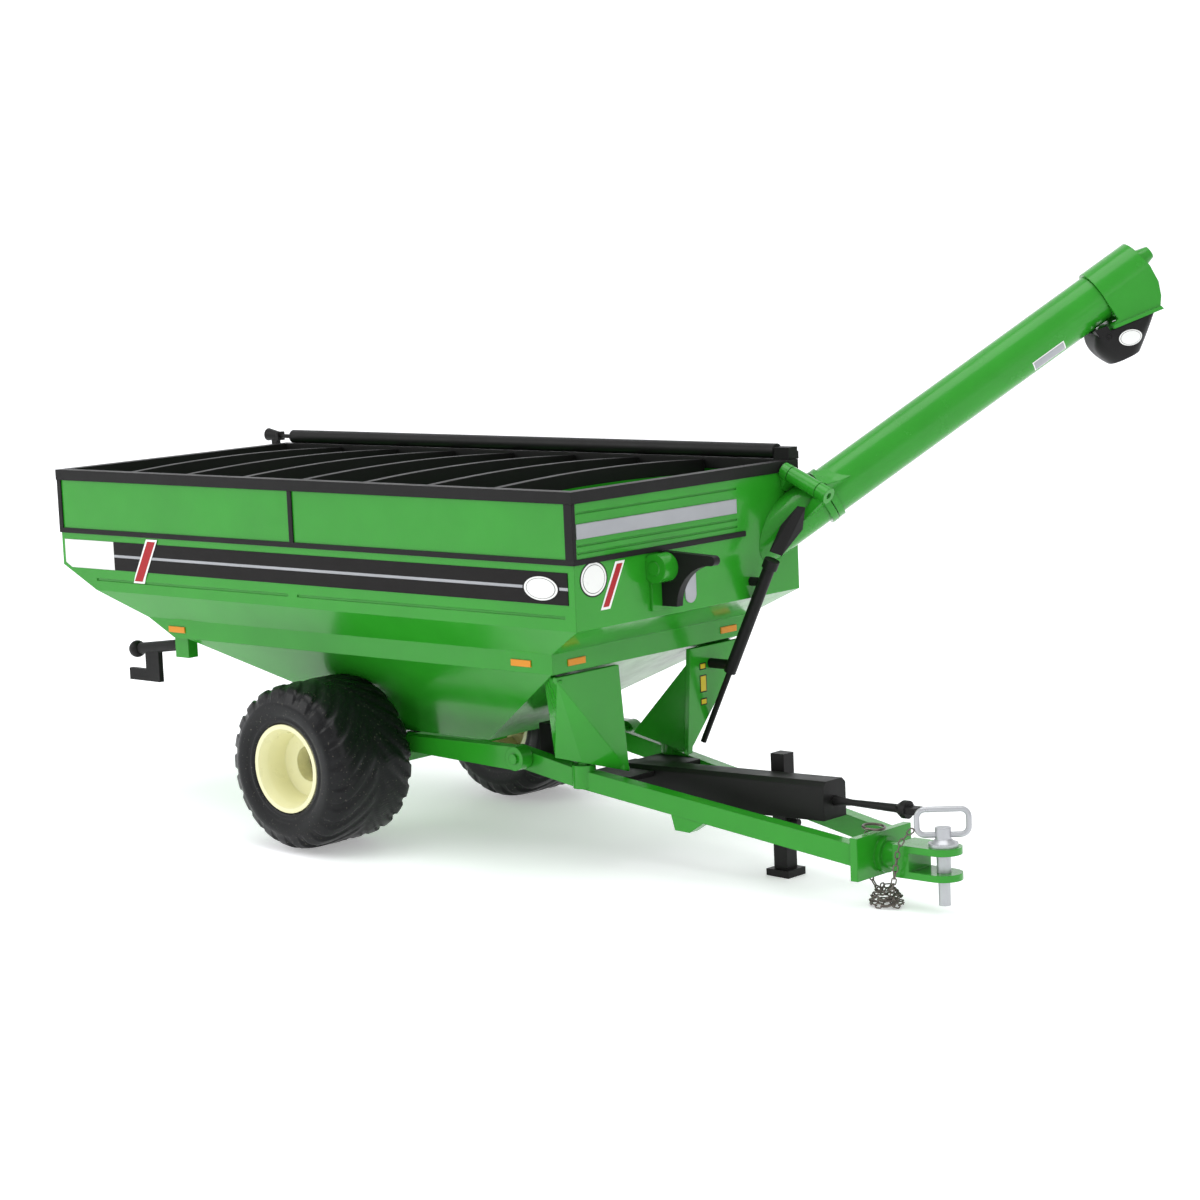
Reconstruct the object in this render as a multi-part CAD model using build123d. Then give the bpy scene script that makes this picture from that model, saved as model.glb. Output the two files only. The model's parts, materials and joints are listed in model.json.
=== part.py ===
from build123d import *
import os
from math import cos, sin, tan, radians, pi
from scipy.spatial import ConvexHull

# ---------------------------------------------------------------------------
# Corner-auger grain cart, 1:64 die-cast model. Millimetres.
# Cart frame used while building: x forward from the hopper's rear wall,
# y to the left, z up from the wheels' contact line, hopper rim level.
# stand() then tips the cart nose-up onto its jack and centres it.
# ---------------------------------------------------------------------------

# hopper
HOP_L = 128.8            # length over the walls
HOP_W = 28.6             # half width over the walls
WALL = 1.1
RAIL_TOP = 64.1
RAIL_BASE = 62.2
REAR_KNEE = 46.4
SIDE_KNEE = 42.0
BAND_W = 25.2            # half width at the lower band
BAND_X0 = 26.5
BAND_X1 = 120.1
BAND_TOP = 37.2
BAND_BASE = 33.8
SUMP_X0 = 66.6
SUMP_X1 = 86.8
SUMP_W = 6.4
SUMP_Z = 17.2
REAR_SLOPE = (REAR_KNEE - BAND_BASE) / BAND_X0

# rail, bows and tarp
RAIL_PROUD = 0.35
RAIL_IN = 26.9           # half width inside the rail
BOW_N = 7
BOW_PITCH = 15.3
BOW_MID = 63.3
BOW_T = 1.5
BOW_H = 2.5
TARP_R = 1.3
TARP_Z = 65.45
TARP_Y = 28.0

# wheels
AXLE_X = 65.4
AXLE_Z = 14.87
TYRE_R = 14.87
TYRE_OUT = 35.5
TYRE_IN = 16.8
RIM_R = 7.73
AXLE_R = 1.5
RUN = 0.05               # radial running clearance

# auger: tube direction, hinge axis and the places they pass through
AUG_D = Vector(0.539, 0.647, 0.540).normalized()
HINGE_D = Vector(0.912, 0.024, -0.410).normalized()
AUG_A = Vector(128.85, 24.86, 53.31)
HINGE_C = Vector(134.27, 24.91, 60.34)
TUBE_R = 4.25
SEAM_T = 8.3             # seam, measured along the tube from AUG_A
HEAD_T = 66.5            # start of the head, along the tube from AUG_A
KNUCKLE_R = 1.43
HINGE_PIN_R = 0.55

# running gear and tongue
PLATE_X = 165.2
PIN_X = 178.0
PIN_R = 1.13
PIN_END_R = 0.95         # reduced free end, for the tractor's drawbar hole
EAR_TOP = 7.5
JACK_X = 142.4
JACK_Y = 5.2
JACK_W = 2.7
PTO_Z = 12.6

# stance
NOSE_UP = 1.7            # degrees, as it stands on the jack
SHIFT_X = 87.91          # brings the bounding box centre over the origin
SHIFT_Y = 21.804

PARTS = {}


def box(x0, x1, y0, y1, z0, z1):
    b = Box(x1 - x0, y1 - y0, z1 - z0)
    return Pos((x0 + x1) / 2, (y0 + y1) / 2, (z0 + z1) / 2) * b


def rod(p, q, r):
    p, q = Vector(*p), Vector(*q)
    return Solid.make_cylinder(r, (q - p).length, Plane(origin=p, z_dir=q - p))


def taper(p, q, r0, r1):
    p, q = Vector(*p), Vector(*q)
    return Solid.make_cone(r0, r1, (q - p).length, Plane(origin=p, z_dir=q - p))


def hull(points):
    """Convex solid round the points, one flat face per plane."""
    pts = [tuple(float(c) for c in p) for p in points]
    h = ConvexHull(pts)
    groups = {}
    for eq, tri in zip(h.equations, h.simplices):
        key = tuple(round(float(v), 4) for v in eq)
        groups.setdefault(key, set()).update(int(i) for i in tri)
    faces = []
    for key, ids in groups.items():
        n = Vector(*key[:3])
        vs = [Vector(*pts[i]) for i in ids]
        mid = sum(vs, Vector(0, 0, 0)) / len(vs)
        u = (vs[0] - mid).normalized()
        w = n.cross(u)
        vs.sort(key=lambda v: Vector(1, 0, 0).get_signed_angle(
            Vector((v - mid).dot(u), (v - mid).dot(w), 0), Vector(0, 0, 1)))
        faces.append(Face(Wire.make_polygon(vs, close=True)))
    return Solid(Shell(faces))


def sheet(points, t):
    """Flat plate of thickness t behind the polygon's plane."""
    p = [Vector(*q) for q in points]
    n = (p[1] - p[0]).cross(p[2] - p[0]).normalized() * t
    return hull([tuple(q) for q in p] + [tuple(q + n) for q in p])


def both(x, y, z):
    return [(x, -y, z), (x, y, z)]


def mirrored(part):
    return part.mirror(Plane.XZ)


def fused(items):
    out = items[0]
    for s in items[1:]:
        out = out + s
    return out


def stand(part):
    """Nose up about the axle, then centred over the origin."""
    tip = Pos(AXLE_X, 0, AXLE_Z) * Rot(0, -NOSE_UP, 0) * Pos(-AXLE_X, 0, -AXLE_Z)
    return part.moved(Pos(-SHIFT_X, -SHIFT_Y, 0) * tip)


def keep(name, part):
    PARTS[name] = part


# ---------------------------------------------------------------- hopper ----

def hopper_mass(w, grow):
    """Solid body of the hopper, inset by w; grow lifts the open top."""
    rear_band = (REAR_KNEE - BAND_TOP) / REAR_SLOPE
    knee_x = (REAR_KNEE - SIDE_KNEE) / REAR_SLOPE
    k = w * 0.62
    top = RAIL_BASE + grow
    upper = both(w, HOP_W - w, top) + both(HOP_L - w, HOP_W - w, top)
    upper += both(w, HOP_W - w, REAR_KNEE + k)
    upper += both(knee_x + w, HOP_W - w, SIDE_KNEE + k)
    upper += both(HOP_L - w, HOP_W - w, SIDE_KNEE - 0.2 + k)
    upper += both(rear_band + 1.6 * w, BAND_W - w, BAND_TOP + 0.3 * w)
    upper += both(BAND_X1 - w, BAND_W - w, BAND_TOP + 0.3 * w)
    band = both(rear_band + 1.6 * w, BAND_W - w, BAND_TOP + 0.31 * w + 0.05)
    band += both(BAND_X1 - w, BAND_W - w, BAND_TOP + 0.31 * w + 0.05)
    band += both(BAND_X0 + 1.8 * w, BAND_W - w, BAND_BASE + 0.5 * w)
    band += both(BAND_X1 - w, BAND_W - w, BAND_BASE + 0.5 * w)
    step = 0.8
    cone = both(BAND_X0 + 1.5 + 1.8 * w, BAND_W - step - w, BAND_BASE + 0.5 * w + 0.1)
    cone += both(BAND_X1 - step - 1.3 * w, BAND_W - step - w, BAND_BASE + 0.5 * w + 0.1)
    cone += both(SUMP_X0 + 0.6 * w, SUMP_W - 0.6 * w, SUMP_Z + w)
    cone += both(SUMP_X1 - 0.6 * w, SUMP_W - 0.6 * w, SUMP_Z + w)
    return hull(upper) + hull(band) + hull(cone)


def groove(x0, x1, z):
    return box(x0, x1, -HOP_W - 1, -HOP_W + 0.2, z - 0.22, z + 0.22)


def hopper():
    body = hopper_mass(0, 0) - hopper_mass(WALL, 1.0)
    for cut in (groove(9.5, 61.6, 44.0), groove(63.9, 126.5, 44.0)):
        body = body - cut - mirrored(cut)
    for z in (60.6, 55.4, 54.2):
        body = body - box(HOP_L - 0.2, HOP_L + 1, -27.6, 12.4, z - 0.15, z + 0.15)
    body = body - rod(AUG_A - AUG_D * 31, AUG_A + AUG_D * 9, TUBE_R)
    for s0, s1 in ((-5.4, -3.85), (2.55, 4.7)):
        body = body - web(s0, s1, SEAM_T - 6.5, SEAM_T - 0.1)
    return body


def rail():
    p = RAIL_PROUD
    outer = box(-p, HOP_L + p, -HOP_W - p, HOP_W + p, RAIL_BASE, RAIL_TOP)
    inner = box(1.7, HOP_L - 1.7, -RAIL_IN, RAIL_IN, RAIL_BASE - 1, RAIL_TOP + 1)
    return outer - inner


def bow(i):
    x = BOW_MID + BOW_PITCH * (i - (BOW_N - 1) / 2) - BOW_T / 2
    e = RAIL_IN
    low, rise = 63.7, 0.9
    top = Edge.make_three_point_arc((x, -e, low), (x, 0, low + rise), (x, e, low))
    bot = Edge.make_three_point_arc((x, e, low - BOW_H), (x, 0, low + rise - BOW_H),
                                    (x, -e, low - BOW_H))
    sides = [Edge.make_line((x, e, low), (x, e, low - BOW_H)),
             Edge.make_line((x, -e, low - BOW_H), (x, -e, low))]
    face = Face(Wire([top, sides[0], bot, sides[1]]))
    return Solid.extrude(face, Vector(BOW_T, 0, 0))


def tarp():
    keep("tarp_roll", rod((3.0, TARP_Y, TARP_Z), (125.4, TARP_Y, TARP_Z), TARP_R))
    plate = box(125.45, 128.8, 26.9, 29.3, RAIL_TOP, 66.2)
    plate = plate + box(127.4, 128.8, 29.3, 29.6, RAIL_TOP, 65.4)
    keep("tarp_end_bracket", plate)
    crank = rod((2.95, TARP_Y, TARP_Z), (-1.2, TARP_Y, TARP_Z), 0.4)
    crank = crank + box(-1.4, -0.7, 27.1, 28.9, 64.6, 66.3)
    crank = crank + taper((-1.4, TARP_Y, 65.6), (-4.4, TARP_Y, 65.7), 0.75, 1.25)
    crank = crank + box(-3.1, -1.6, 27.5, 28.5, 63.6, 65.2)
    keep("tarp_crank", crank)


def trims():
    p = 0.25
    z0, z1 = 52.4, 53.3
    belt = box(-p, HOP_L + p, -HOP_W - p, HOP_W + p, z0, z1)
    belt = belt - box(0, HOP_L, -HOP_W, HOP_W, z0 - 1, z1 + 1)
    # open at the front left, where the auger comes through
    belt = belt - box(HOP_L - 0.1, HOP_L + 1, 14.3, 40, z0 - 1, z1 + 1)
    belt = belt - box(117, HOP_L + 1, HOP_W - 1, HOP_W + 1, z0 - 1, z1 + 1)
    keep("belt_strip", belt)
    post = box(0, 0.8, -HOP_W - p, -HOP_W, z1, RAIL_BASE)
    post = post + box(-p, 0, -HOP_W - p, -HOP_W + 0.8, z1, RAIL_BASE)
    front = box(HOP_L - 1.5, HOP_L, -HOP_W - p, -HOP_W, z1, RAIL_BASE)
    front = front + box(HOP_L, HOP_L + p, -HOP_W - p, -HOP_W + 0.5, z1, RAIL_BASE)
    keep("corner_posts", Compound([post, mirrored(post), front]))
    div = box(62.9, 63.9, -HOP_W - p, -HOP_W, z1, RAIL_BASE)
    keep("panel_dividers", Compound([div, mirrored(div)]))


def stripes():
    y0, y1 = -HOP_W - 0.12, -HOP_W
    z0, z1 = 46.0, 51.2
    line0, line1 = 48.35, 48.85
    low = box(15.0, 127.4, y0, y1, z0, line0)
    high = box(15.0, 127.4, y0, y1, line1, z1)
    keep("stripe_bands", Compound([low, high, mirrored(low), mirrored(high)]))
    line = box(15.0, 127.4, y0, y1, line0, line1)
    keep("stripe_lines", Compound([line, mirrored(line)]))
    white = box(0.9, 15.0, y0, y1, z0, z1) - hull(
        [(0.9, y0 - 1, z0), (0.9, y1 + 1, z0), (0.9, y0 - 1, z0 + 0.9),
         (0.9, y1 + 1, z0 + 0.9), (2.6, y0 - 1, z0), (2.6, y1 + 1, z0)])
    keep("stripe_blocks", Compound([white, mirrored(white)]))


def front_trim():
    x = HOP_L
    strip = box(x, x + 0.25, -27.9, 12.1, 56.5, 58.9)
    slot = box(x, x + 0.2, -1.9, 0.9, 44.4, 48.2)
    slot = slot + rod((x, -0.5, 44.4), (x + 0.2, -0.5, 44.4), 1.4)
    slot = slot + rod((x, -0.5, 48.2), (x + 0.2, -0.5, 48.2), 1.4)
    keep("front_windows", Compound([strip, slot]))
    refl = []
    for x0 in (25.2, 111.0):
        r = box(x0, x0 + 4.4, -BAND_W - 0.2, -BAND_W, 34.8, 35.9)
        refl += [r, mirrored(r)]
    r = box(BAND_X1, BAND_X1 + 0.2, -21.6, -17.4, 34.8, 35.9)
    refl += [r, mirrored(r)]
    keep("reflectors", Compound(refl))
    z = 50.0
    pad = box(x, x + 0.5, -10.6, -5.0, 42.9, 52.0)
    boss = rod((x + 1.8, -11.4, z), (x + 1.8, -8.2, z), 2.4)
    boss = boss + box(x, x + 1.8, -11.1, -8.2, z - 1.9, z + 1.9)
    boss = boss + rod((x + 1.8, -11.6, z), (x + 1.8, -11.4, z), 1.15)
    keep("saddle_boss", pad + boss - box(x - 5, x, -20, 0, 40, 60))
    keep("auger_saddle", saddle())


def saddle():
    x, y = HOP_L + 0.5, -8.2
    a = (x, y, 43.5)
    b = (x, y, 52.5)
    c = (x + 10.4, y, 52.1)
    tip = (x + 11.3, y, 51.3)
    d = (x + 10.4, y, 50.5)
    e = (x + 3.1, y, 43.5)
    edges = [Edge.make_line(a, b), Edge.make_line(b, c),
             Edge.make_three_point_arc(c, tip, d),
             Edge.make_three_point_arc(d, (x + 5.3, y, 48.4), e), Edge.make_line(e, a)]
    plate = Solid.extrude(Face(Wire(edges)), Vector(0, 1.5, 0))
    return plate


# ----------------------------------------------------------------- auger ----

def on_tube(t):
    return AUG_A + AUG_D * t


def knuckle(s0, s1, r):
    return rod(HINGE_C + HINGE_D * s0, HINGE_C + HINGE_D * s1, r)


def web(s0, s1, t0, t1):
    """Gusset from a knuckle down onto the tube between t0 and t1."""
    side = (HINGE_D - AUG_D * HINGE_D.dot(AUG_D)).normalized()
    out = side.cross(AUG_D).normalized()
    if out.dot(HINGE_C - on_tube(0)) < 0:
        out = out * -1
    pts = []
    for s in (s0, s1):
        c = HINGE_C + HINGE_D * s
        for dv in (-1.1, 1.1):
            pts.append(tuple(c + AUG_D * dv - out * 0.2))
    lo, hi = sorted((s0, s1))
    for t in (t0, t1):
        for w in (max(lo, -3.4), min(hi, 3.4)):
            pts.append(tuple(on_tube(t) + side * w + out * 2.0))
    return hull(pts)


def lower_auger():
    tube = rod(on_tube(-30), on_tube(SEAM_T - 0.08), TUBE_R)
    ring = rod(on_tube(SEAM_T - 1.3), on_tube(SEAM_T - 0.08), TUBE_R + 0.55)
    body = tube + ring
    body = body + web(-5.4, -3.85, SEAM_T - 6.5, SEAM_T - 0.1)
    body = body + web(2.55, 4.7, SEAM_T - 6.5, SEAM_T - 0.1)
    body = body + latch_tab(SEAM_T - 1.3, SEAM_T - 0.08)
    # room for the moving knuckle and everything past the seam
    body = body - knuckle(-3.85, 2.55, KNUCKLE_R + 0.15)
    beyond = on_tube(SEAM_T - 0.08)
    far = Plane(origin=beyond, z_dir=AUG_D)
    body = body - Solid.make_cylinder(30, 20, far)
    body = body + knuckle(-5.4, -3.85, KNUCKLE_R) + knuckle(2.55, 4.7, KNUCKLE_R)
    body = body - knuckle(-5.0, 4.8, HINGE_PIN_R)
    body = body - rod(on_tube(SEAM_T - 2.6), on_tube(SEAM_T + 1), TUBE_R - 0.9)
    return body


def latch_tab(t0, t1):
    """Round lug on the flange, opposite the hinge."""
    away = (on_tube(SEAM_T) - HINGE_C)
    away = (away - AUG_D * away.dot(AUG_D)).normalized()
    c0, c1 = on_tube(t0) + away * (TUBE_R + 0.5), on_tube(t1) + away * (TUBE_R + 0.5)
    return rod(c0, c1, 1.1)


def upper_auger():
    tube = rod(on_tube(SEAM_T + 0.08), on_tube(HEAD_T), TUBE_R)
    ring = rod(on_tube(SEAM_T + 0.08), on_tube(SEAM_T + 1.3), TUBE_R + 0.45)
    body = tube + ring + web(-1.5, 2.4, SEAM_T + 0.2, SEAM_T + 9.0)
    body = body + latch_tab(SEAM_T + 0.08, SEAM_T + 1.3)
    behind = Plane(origin=on_tube(SEAM_T + 0.08), z_dir=-AUG_D)
    body = body - Solid.make_cylinder(30, 20, behind)
    body = body + knuckle(-3.7, 2.4, KNUCKLE_R) + neck(-3.7, 2.4)
    body = body - knuckle(-9, -3.7, KNUCKLE_R + 0.2) - knuckle(2.4, 9, KNUCKLE_R + 0.2)
    body = body - knuckle(-3.8, 2.5, HINGE_PIN_R + RUN)
    return body - rod(on_tube(SEAM_T - 1), on_tube(SEAM_T + 2.6), TUBE_R - 0.9)


def neck(s0, s1):
    """Ties the moving knuckle to the tube just past the seam."""
    foot = on_tube(SEAM_T + 0.1)
    toward = HINGE_C - foot
    toward = (toward - AUG_D * toward.dot(AUG_D)).normalized()
    pts = []
    for s in (s0, s1):
        c = HINGE_C + HINGE_D * s
        pts.append(tuple(c + AUG_D * 0.2 + toward * 1.0))
        pts.append(tuple(c + AUG_D * 1.2 - toward * 0.6))
        pts.append(tuple(c + AUG_D * 1.9 - toward * 1.6))
        reach = 4.2 if s > 0 else 2.2
        pts.append(tuple(c + AUG_D * reach - toward * 1.6))
    body = hull(pts)
    behind = Plane(origin=on_tube(SEAM_T + 0.08), z_dir=-AUG_D)
    low = Solid.make_cylinder(30, 20, behind)
    return body - (low - knuckle(s0, s1, KNUCKLE_R))


# local directions of the auger head: along the tube, up from it, to the side
HEAD_O = AUG_A + AUG_D * HEAD_T
HEAD_C = Vector(AUG_D.Y, -AUG_D.X, 0).normalized()
HEAD_B = HEAD_C.cross(AUG_D).normalized()
HEAD_PROFILE = [(0.05, 4.75), (9.15, 4.75), (9.65, 0.0), (9.4, -3.1), (8.45, -5.4),
                (7.4, -6.75), (-1.3, -4.65), (0.05, -4.3)]
SPOUT_PIVOT = (-2.9, -5.9)
SPOUT_PIN_R = 0.4


def head_point(a, b, c):
    return HEAD_O + AUG_D * a + HEAD_B * b + HEAD_C * c


def head_prism(profile, c0, c1):
    face = Face(Wire.make_polygon([head_point(a, b, c0) for a, b in profile], close=True))
    return Solid.extrude(face, HEAD_C * (c1 - c0))


def head_box(a0, a1, b0, b1, c):
    return head_prism([(a0, b0), (a1, b0), (a1, b1), (a0, b1)], -c, c)


def auger_head():
    body = head_prism(HEAD_PROFILE, -6, 6)
    keep_in = rod(HEAD_O - AUG_D * 2, HEAD_O + AUG_D * 12, 4.75)
    keep_in = keep_in + head_box(-2, 12, -10, 0, 4.75)
    body = body & keep_in
    inner = [(2.0, 3.2), (8.4, 3.2), (8.9, 0.0), (8.6, -2.9), (7.7, -5.0),
             (6.6, -8.5), (-0.6, -8.5), (0.7, -4.1), (2.0, -3.2)]
    room = rod(HEAD_O, HEAD_O + AUG_D * 12, 3.9) + head_box(-2, 12, -10, 0, 3.9)
    body = body - (head_prism(inner, -6, 6) & room)
    # flange round the outlet
    lip = [(7.4, -6.75), (-1.3, -4.65), (-1.55, -5.25), (7.55, -7.45)]
    rim = head_prism(lip, -5.1, 5.1)
    mouth = head_prism([(6.6, -3.0), (-0.6, -4.0), (-0.6, -10), (6.6, -10)], -3.9, 3.9)
    body = body + rim - mouth
    # bearing stub at the top end
    stub = taper(head_point(9.4, 1.0, 0), head_point(12.1, 1.0, 0), 1.9, 1.1)
    return body + stub


SPOUT_RINGS = [((0.85, -5.98), (0.972, -0.235), 10.9, 9.0, 1.2),
               ((-0.75, -8.2), (0.967, -0.255), 9.8, 8.3, 2.6),
               ((-1.6, -11.3), (0.985, -0.170), 5.6, 5.8, 2.5)]


def funnel(wall):
    """Cup through three rounded rectangles, each drawn in by the wall."""
    faces = []
    for (a, b), (u, v), wide, deep, r in SPOUT_RINGS:
        at = Plane(origin=head_point(a, b, 0), x_dir=AUG_D * u + HEAD_B * v,
                   z_dir=AUG_D * v - HEAD_B * u)
        ring = at * RectangleRounded(wide - 2 * wall, deep - 2 * wall, r - wall / 2)
        faces.append(ring.face())
    return loft(faces)


def spout():
    """Tapering outlet, open at both ends, hung under the head's flange."""
    body = funnel(0) - funnel(0.55)
    ear = [(-4.35, -5.0), (-4.45, -3.6), (-2.2, -4.25), (-2.1, -5.5), (-4.0, -5.3)]
    back = [(-4.35, -5.0), (-4.4, -3.95), (-3.9, -4.05), (-3.85, -5.1)]
    for side in (1, -1):
        body = body + head_prism(ear, *sorted((side * 3.95, side * 4.5)))
        body = body + head_prism(back, *sorted((side * 2.7, side * 4.4)))
    return body - rod(*pivot_line(6), SPOUT_PIN_R + RUN)


def pivot_line(c):
    return head_point(*SPOUT_PIVOT, -c), head_point(*SPOUT_PIVOT, c)


def head_lugs():
    """Lugs behind the outlet flange that carry the spout's pivot pin."""
    shape = [(-1.5, -4.9), (-0.7, -5.1), (-0.7, -5.9), (-2.2, -6.6), (-3.5, -6.5),
             (-3.5, -5.4), (-2.2, -5.2)]
    lugs = head_prism(shape, -3.2, -2.5) + head_prism(shape, 2.5, 3.2)
    return lugs - rod(*pivot_line(6), SPOUT_PIN_R)


def augers():
    keep("lower_auger_tube", lower_auger())
    keep("hinge_pin", knuckle(-5.0, 4.1, HINGE_PIN_R))
    keep("upper_auger_tube", upper_auger())
    keep("auger_head", auger_head() + head_lugs())
    keep("discharge_spout", spout())
    keep("spout_pivot_pin", rod(*pivot_line(4.45), SPOUT_PIN_R))


def fold_cylinder():
    """Dummy fold cylinder: link plate, barrel with two pegs, thin rod."""
    top, low = Vector(133.3, 15.8, 48.4), Vector(124.4, 14.3, 28.9)
    along = (low - top).normalized()
    barrel = rod(top, low, 1.05) + rod(top, top + along * 1.6, 1.35)
    peg = top + along * 4.2
    barrel = barrel + rod(peg, (HOP_L, peg.Y, peg.Z), 0.75)
    peg = low - along * 1.4
    barrel = barrel + rod(peg, (120.2, peg.Y, peg.Z), 0.85)
    keep("cylinder_barrel", barrel)
    keep("cylinder_rod", rod(low, low + along * 13.6, 0.5))
    face_dir = Vector(0.624, -0.781, 0)
    pts = [(132.3, 15.6, 48.9), (133.9, 17.4, 48.9), (132.5, 19.4, 52.2), (134.4, 22.9, 52.9),
           (134.8, 23.3, 56.6), (134.0, 22.2, 56.9), (132.3, 19.6, 53.8)]
    link = hull([tuple(Vector(*p) + face_dir * s) for p in pts for s in (0.35, 1.1)])
    link = link - rod(top - along * 1.2, low, 1.36)
    link = link - rod(AUG_A - AUG_D * 5, on_tube(SEAM_T), TUBE_R + 0.02)
    link = link - rod(on_tube(SEAM_T - 1.4), on_tube(SEAM_T + 0.4), TUBE_R + 0.6)
    keep("cylinder_link", link)


# ------------------------------------------------------- running gear ----

def wheel():
    """Right wheel: tyre and moulded rim, revolved about the axle."""
    o, i = TYRE_OUT, TYRE_IN
    mid = (o + i) / 2
    pts = [(RIM_R, o - 0.9), (8.6, o - 0.2), (10.2, o), (12.6, o - 0.9), (14.0, o - 2.4),
           (TYRE_R - 0.15, o - 4.0), (TYRE_R, mid), (TYRE_R - 0.15, i + 4.0),
           (14.0, i + 2.4), (12.6, i + 0.9), (10.2, i), (8.6, i + 0.2), (RIM_R, i + 0.9)]
    tyre = spun(pts)
    rim = spun([(AXLE_R + RUN, 18.0), (3.4, 18.0), (3.4, 25.4), (6.6, 26.4), (6.6, 18.2),
                (RIM_R, 17.8), (RIM_R, o - 0.9), (RIM_R, o - 0.6), (6.9, o - 0.6),
                (6.3, o - 2.2), (5.6, 29.8), (3.1, 29.3), (3.0, 26.4), (AXLE_R + RUN, 26.4)])
    return tyre, rim


def spun(profile):
    """Revolve (radius, distance to the right) pairs about the axle."""
    pts = [Vector(AXLE_X, -y, AXLE_Z + r) for r, y in profile]
    face = Face(Wire.make_polygon(pts, close=True))
    return Solid.revolve(face, 360, Axis((AXLE_X, 0, AXLE_Z), (0, 1, 0)))


def wheels():
    tyre, rim = wheel()
    keep("tyre_right", tyre)
    keep("rim_right", rim)
    keep("tyre_left", mirrored(tyre))
    keep("rim_left", mirrored(rim))
    ends = [rod((AXLE_X, s * 26.5, AXLE_Z), (AXLE_X, s * 27.3, AXLE_Z), 2.0) for s in (-1, 1)]
    axle = rod((AXLE_X, -26.5, AXLE_Z), (AXLE_X, 26.5, AXLE_Z), AXLE_R)
    keep("axle_rod", fused([axle] + ends))
    housing = box(AXLE_X - 4.2, AXLE_X + 4.2, -15.9, 15.9, 12.4, 17.1)
    housing = housing + rod((AXLE_X, -16.6, AXLE_Z), (AXLE_X, 16.6, AXLE_Z), 2.4)
    keep("axle_housing", housing - rod((AXLE_X, -20, AXLE_Z), (AXLE_X, 20, AXLE_Z), AXLE_R))


def rear_beam():
    """Right rear beam with its round lap end."""
    body = hull([(69.6, -15.3, 15.9), (69.6, -15.3, 18.4), (69.6, -13.0, 15.9), (69.6, -13.0, 18.4),
                 (101.0, -15.3, 14.7), (101.0, -15.3, 18.7), (101.0, -13.0, 14.7),
                 (101.0, -13.0, 18.7)])
    body = body + rod((101.2, -15.5, 16.7), (101.2, -13.0, 16.7), 2.05)
    saddle_end = box(61.4, 69.65, -15.3, -13.0, 17.4, 18.4)
    return body + saddle_end


def tongue_beam():
    """Right tongue beam: short steep run, then the long run to the hitch."""
    def ring(x, y, z0, z1, w):
        return [(x, y - w, z0), (x, y + w, z0), (x, y - w, z1), (x, y + w, z1)]

    a = ring(98.6, -11.7, 14.9, 18.3, 1.25)
    b = ring(113.0, -11.4, 12.4, 15.6, 1.25)
    c = ring(PLATE_X, -5.5, 4.1, 7.6, 1.25)
    body = hull(a + b) + hull(b + c)
    # bracket lug under the beam
    lug = hull([(131.0, -10.6, 11.0), (131.0, -8.4, 11.0), (139.0, -9.6, 9.4), (139.0, -7.4, 9.4),
                (132.0, -10.4, 6.9), (132.0, -8.2, 6.9), (134.8, -10.1, 6.7), (134.8, -7.9, 6.7)])
    return body + (lug - hull(b + c)) + rod((113.4, -11.4, 12.4), (113.4, -11.4, 16.3), 2.0)


def leg():
    """Right front leg: folded plate, wide at the top, tapering to the beam."""
    t = 0.9
    x = BAND_X1
    crown, tip = (x, -24.3, 32.6), (x, -7.6, 15.1)
    toe, heel, shoulder = (114.5, -13.0, 16.9), (110.0, -14.7, 17.6), (114.2, -21.2, 33.2)
    front = hull([p for dx in (0, -t) for p in
                  ((x + dx, -24.3, 33.25), (x + dx, -9.2, 33.25), (x + dx, -7.6, 15.1),
                   (x + dx, -24.3, 32.6))])
    facets = [sheet([crown, tip, toe], t), sheet([crown, toe, heel], t),
              sheet([crown, heel, shoulder], t)]
    inner = hull([(x, -9.1, 31.5), (x, -7.9, 15.4), (107.0, -8.6, 17.9),
                  (x, -10.0, 31.5), (x, -8.8, 15.4), (107.0, -9.5, 17.9)])
    body = front + inner
    for f in facets:
        body = body + f
    body = body - box(100, 119.6, -30, 0, 33.25, 40) - hopper_mass(0, 0)
    return body.solids().sort_by(SortBy.VOLUME)[-1]


def frame():
    r = rear_beam()
    keep("rear_beam_right", r)
    keep("rear_beam_left", mirrored(r))
    b = tongue_beam()
    foot = leg()
    foot = foot - b
    keep("tongue_beam_right", b)
    keep("tongue_beam_left", mirrored(b))
    keep("front_leg_right", foot)
    keep("front_leg_left", mirrored(foot))
    pins = [rod((101.2, -15.9, 16.7), (101.2, -15.5, 16.7), 0.9),
            rod((113.4, -11.4, 16.3), (113.4, -11.4, 16.7), 1.0)]
    keep("frame_rivets", Compound(pins + [mirrored(p) for p in pins]))
    side = hull([(112.0, -3.0, 13.6), (121.5, -3.0, 13.6), (112.0, -10.2, 13.6),
                 (121.5, -9.1, 13.6), (112.0, -3.0, 14.5), (121.5, -3.0, 14.5),
                 (112.0, -10.2, 14.5), (121.5, -9.1, 14.5)])
    side = side - b
    keep("cross_plates", Compound([side, mirrored(side)]))
    box_body = box(96.2, 101.2, -3.6, 3.6, 14.2, 20.6)
    box_body = box_body + box(96.2, 101.2, -10.4, 10.4, 14.2, 15.6)
    keep("drive_box", box_body)


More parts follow.
